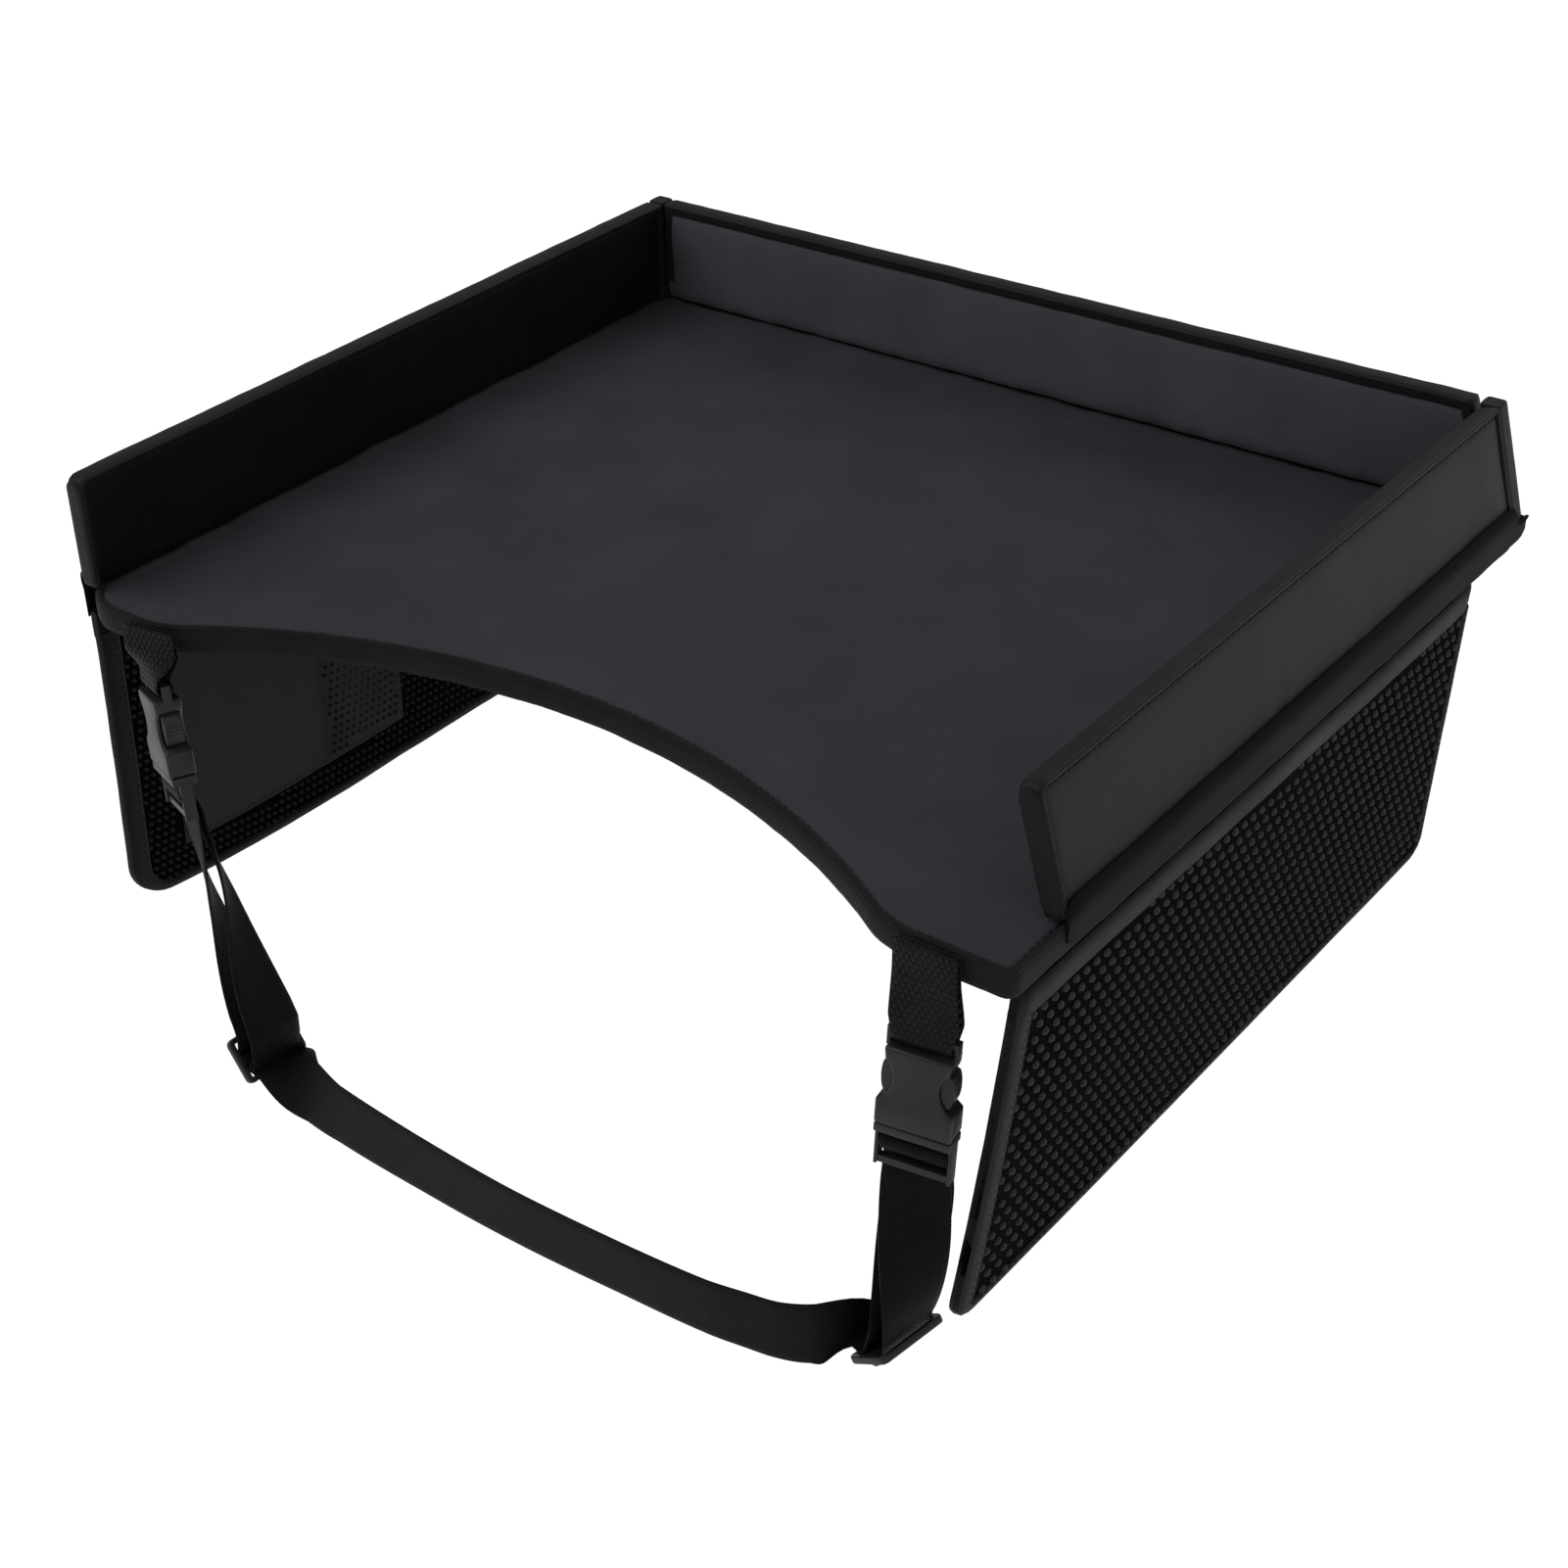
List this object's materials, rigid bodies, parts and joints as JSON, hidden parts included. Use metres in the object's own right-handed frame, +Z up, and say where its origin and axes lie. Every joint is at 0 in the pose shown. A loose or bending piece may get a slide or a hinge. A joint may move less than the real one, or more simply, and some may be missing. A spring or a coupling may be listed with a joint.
{
  "type": "car seat tray table",
  "caption": "Padded lap tray with a belly notch, three fold-down walls, folding mesh side panels with pockets and a buckled waist belt.",
  "frame": {"origin": "middle of the object's footprint, on the ground that the side panels stand on", "axes": "+Z up, +Y from the child's side to the far wall, +X to the child's left as the child sits and to the viewer's right"},
  "size_m": [0.4055, 0.3964, 0.1892],
  "materials": {
    "deck_cloth": "smooth matt woven cloth, slate grey",
    "board": "light hollow plastic sheet, out of sight",
    "foam": "soft foam, out of sight",
    "wall_cloth": "smooth matt woven cloth, dark grey",
    "binding": "twill edge binding, black",
    "mesh": "raised hexagonal spacer mesh, black",
    "webbing": "heavy woven webbing, black",
    "buckle": "moulded plastic, dark grey, satin"
  },
  "bodies": {
    "deck": {"deck_board": "board", "deck_foam_pad": "foam", "deck_top_cover": "deck_cloth", "deck_bottom_cover": "wall_cloth", "deck_edge_binding": "binding", "wall_left_hinge_strip": "binding", "wall_right_hinge_strip": "binding", "wall_back_hinge_strip": "binding", "wall_back_root": "wall_cloth", "corner_gusset_left": "wall_cloth", "corner_gusset_right": "wall_cloth"},
    "wall_left": {"wall_left_binding": "binding", "wall_left_board": "board", "wall_left_inner_cover": "wall_cloth", "wall_left_outer_cover": "wall_cloth"},
    "wall_right": {"wall_right_binding": "binding", "wall_right_board": "board", "wall_right_inner_cover": "wall_cloth", "wall_right_outer_cover": "wall_cloth"},
    "wall_back": {"wall_back_binding": "binding", "wall_back_board": "board", "wall_back_inner_cover": "wall_cloth", "wall_back_outer_cover": "wall_cloth"},
    "panel_left": {"panel_left_binding": "binding", "panel_left_top_band": "binding", "panel_left_board": "board", "panel_left_inner_mesh": "mesh", "panel_left_outer_mesh": "mesh", "panel_left_document_pocket": "wall_cloth"},
    "panel_right": {"panel_right_binding": "binding", "panel_right_top_band": "binding", "panel_right_board": "board", "panel_right_inner_mesh": "mesh", "panel_right_outer_mesh": "mesh", "panel_right_document_pocket": "wall_cloth"},
    "belt": {"tab_left": "webbing", "tab_right": "webbing", "buckle_left_socket": "buckle", "buckle_right_socket": "buckle", "buckle_left_plug": "buckle", "buckle_right_plug": "buckle", "slider_left": "buckle", "slider_right": "buckle", "belt_webbing": "webbing"},
    "latch_left_inner": {"latch_arm_left_inner": "buckle"},
    "latch_left_outer": {"latch_arm_left_outer": "buckle"},
    "latch_right_inner": {"latch_arm_right_inner": "buckle"},
    "latch_right_outer": {"latch_arm_right_outer": "buckle"}
  },
  "joints": [
    {"name": "wall_left_fold", "type": "hinge", "parent": "deck", "child": "wall_left", "pos_m": [-0.192, 0.0244, 0.1463], "axis": [0, 1, 0], "range_deg": [0, 90]},
    {"name": "wall_right_fold", "type": "hinge", "parent": "deck", "child": "wall_right", "pos_m": [0.192, 0.0244, 0.1463], "axis": [0, -1, 0], "range_deg": [-15, 75]},
    {"name": "wall_back_fold", "type": "hinge", "parent": "deck", "child": "wall_back", "pos_m": [0, 0.1879, 0.1546], "axis": [1, 0, 0], "range_deg": [0, 90], "deforming": ["corner_gusset_left", "corner_gusset_right"]},
    {"name": "panel_left_fold", "type": "hinge", "parent": "deck", "child": "panel_left", "pos_m": [-0.1948, 0.0244, 0.1347], "axis": [0, -1, 0], "range_deg": [0, 91]},
    {"name": "panel_right_fold", "type": "hinge", "parent": "deck", "child": "panel_right", "pos_m": [0.1948, 0.0244, 0.1347], "axis": [0, 1, 0], "range_deg": [-8, 83]},
    {"name": "belt_swing", "type": "hinge", "parent": "deck", "child": "belt", "pos_m": [0, -0.1489, 0.145], "axis": [-1, 0, 0], "range_deg": [0, 90]},
    {"name": "latch_left_inner_squeeze", "type": "hinge", "parent": "belt", "child": "latch_left_inner", "pos_m": [-0.14377, -0.15509, 0.09445], "axis": [-0.4067, -0.9135, 0.012], "range_deg": [0, 7], "stiffness_Nm_per_rad": 0.04},
    {"name": "latch_left_outer_squeeze", "type": "hinge", "parent": "belt", "child": "latch_left_outer", "pos_m": [-0.1562, -0.14959, 0.09204], "axis": [0.4067, 0.9135, -0.012], "range_deg": [0, 7], "stiffness_Nm_per_rad": 0.04},
    {"name": "latch_right_inner_squeeze", "type": "hinge", "parent": "belt", "child": "latch_right_inner", "pos_m": [0.16488, -0.15331, 0.0821], "axis": [-0.1906, 0.9803, -0.0511], "range_deg": [0, 7], "stiffness_Nm_per_rad": 0.04},
    {"name": "latch_right_outer_squeeze", "type": "hinge", "parent": "belt", "child": "latch_right_outer", "pos_m": [0.17843, -0.15071, 0.08154], "axis": [0.1906, -0.9803, 0.0511], "range_deg": [0, 7], "stiffness_Nm_per_rad": 0.04}
  ],
  "couplings": [
    {"joint": "latch_left_outer_squeeze", "follows": "latch_left_inner_squeeze", "ratio": 1},
    {"joint": "latch_right_outer_squeeze", "follows": "latch_right_inner_squeeze", "ratio": 1}
  ]
}
